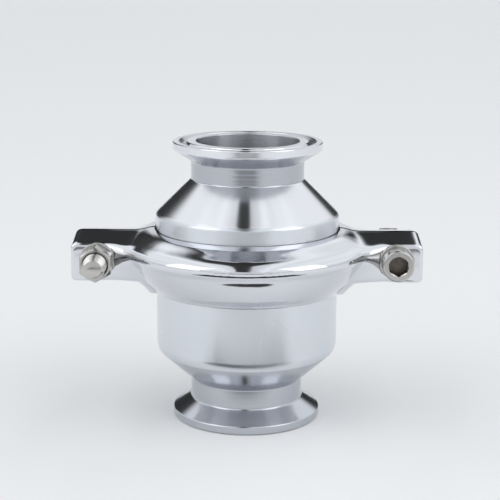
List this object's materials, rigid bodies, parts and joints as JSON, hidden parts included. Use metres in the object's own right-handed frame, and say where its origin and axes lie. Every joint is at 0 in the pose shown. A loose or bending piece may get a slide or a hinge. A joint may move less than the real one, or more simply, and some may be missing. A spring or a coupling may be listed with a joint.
{
  "type": "in-line spring check valve",
  "caption": "Sanitary in-line spring check valve with ferrule ends, a two-part body and a two-bolt body clamp.",
  "frame": {"origin": "centre of the inlet ferrule's face, at the bottom of the valve, on the flow axis", "axes": "+Z along the flow from inlet to outlet, +X through the clamp's ears, -Y towards the front clamp half"},
  "size_m": [0.1172, 0.0862, 0.0951],
  "materials": {
    "satin_steel": "turned and lightly brushed stainless steel, satin",
    "polished_steel": "mirror-polished stainless steel",
    "fastener_steel": "bright stainless steel fasteners, slightly warm",
    "spring_steel": "drawn stainless spring wire",
    "seal_rubber": "black moulded elastomer, matt",
    "bush_polymer": "off-white bearing polymer"
  },
  "bodies": {
    "housing": {"lower_body": "satin_steel", "upper_body": "satin_steel", "body_gasket": "seal_rubber", "guide_spider": "satin_steel", "guide_bush": "bush_polymer", "closing_spring": "spring_steel"},
    "plug": {"plug_disc": "satin_steel", "plug_o_ring": "seal_rubber", "seal_retainer": "satin_steel", "plug_stem": "satin_steel", "retainer_nut": "fastener_steel", "lift_stop_sleeve": "satin_steel"},
    "clamp_front": {"clamp_front_half": "polished_steel", "screw_washer_right": "fastener_steel", "nut_washer_left": "fastener_steel"},
    "clamp_rear": {"clamp_rear_half": "polished_steel", "screw_washer_left": "fastener_steel", "nut_washer_right": "fastener_steel"},
    "screw_left": {"clamp_screw_left": "fastener_steel"},
    "screw_right": {"clamp_screw_right": "fastener_steel"},
    "nut_left": {"clamp_nut_left": "fastener_steel"},
    "nut_right": {"clamp_nut_right": "fastener_steel"}
  },
  "joints": [
    {"name": "plug_lift", "type": "slide", "parent": "housing", "child": "plug", "axis": [0, 0, 1], "range_m": [0, 0.009], "stiffness_N_per_m": 300, "springref_m": -0.02, "deforming": ["closing_spring"]},
    {"name": "clamp_front_open", "type": "slide", "parent": "housing", "child": "clamp_front", "axis": [0, -1, 0], "range_m": [0, 0.0025]},
    {"name": "clamp_rear_open", "type": "slide", "parent": "housing", "child": "clamp_rear", "axis": [0, 1, 0], "range_m": [0, 0.0025]},
    {"name": "screw_left_turn", "type": "hinge", "parent": "clamp_rear", "child": "screw_left", "pos_m": [-0.0496, 0, 0.0567], "axis": [0, 1, 0], "continuous": true},
    {"name": "nut_left_turn", "type": "hinge", "parent": "clamp_front", "child": "nut_left", "pos_m": [-0.0496, -0.018, 0.0567], "axis": [0, 1, 0], "continuous": true},
    {"name": "screw_right_turn", "type": "hinge", "parent": "clamp_front", "child": "screw_right", "pos_m": [0.0496, 0, 0.0567], "axis": [0, 1, 0], "continuous": true},
    {"name": "nut_right_turn", "type": "hinge", "parent": "clamp_rear", "child": "nut_right", "pos_m": [0.0496, 0.018, 0.0567], "axis": [0, 1, 0], "continuous": true}
  ],
  "couplings": [
    {"joint": "clamp_rear_open", "follows": "clamp_front_open", "ratio": 1}
  ]
}
